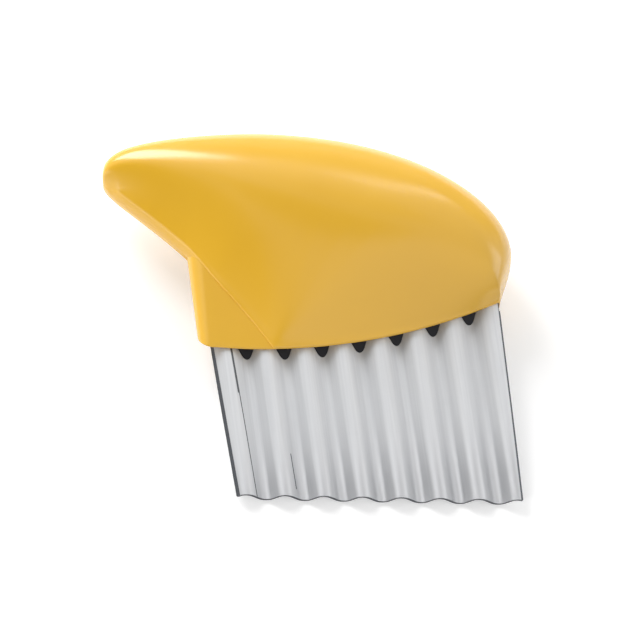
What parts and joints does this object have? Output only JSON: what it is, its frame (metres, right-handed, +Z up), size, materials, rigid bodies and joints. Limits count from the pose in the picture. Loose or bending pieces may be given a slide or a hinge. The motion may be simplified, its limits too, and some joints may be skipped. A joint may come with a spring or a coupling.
{
  "type": "crinkle cutter",
  "caption": "Hand crinkle cutter: a corrugated steel blade with a slanted edge under a rounded leaf-shaped plastic handle, for cutting vegetables into wavy slices.",
  "frame": {"origin": "centre of the underside of the bounding box, on the table the cutter lies on", "axes": "+X along the cutting edge toward the nose, +Y from the cutting edge toward the handle, +Z up from the table, out of the front side"},
  "size_m": [0.1118, 0.1026, 0.0313],
  "materials": {
    "handle": "smooth glossy yellow",
    "blade": "polished stainless",
    "seal": "black filler, slightly glossy",
    "pins": "plain steel"
  },
  "bodies": {
    "root": {"front_shell": "handle", "rear_shell": "handle", "blade": "blade", "valley_seals": "seal", "blade_pins": "pins"}
  },
  "joints": []
}
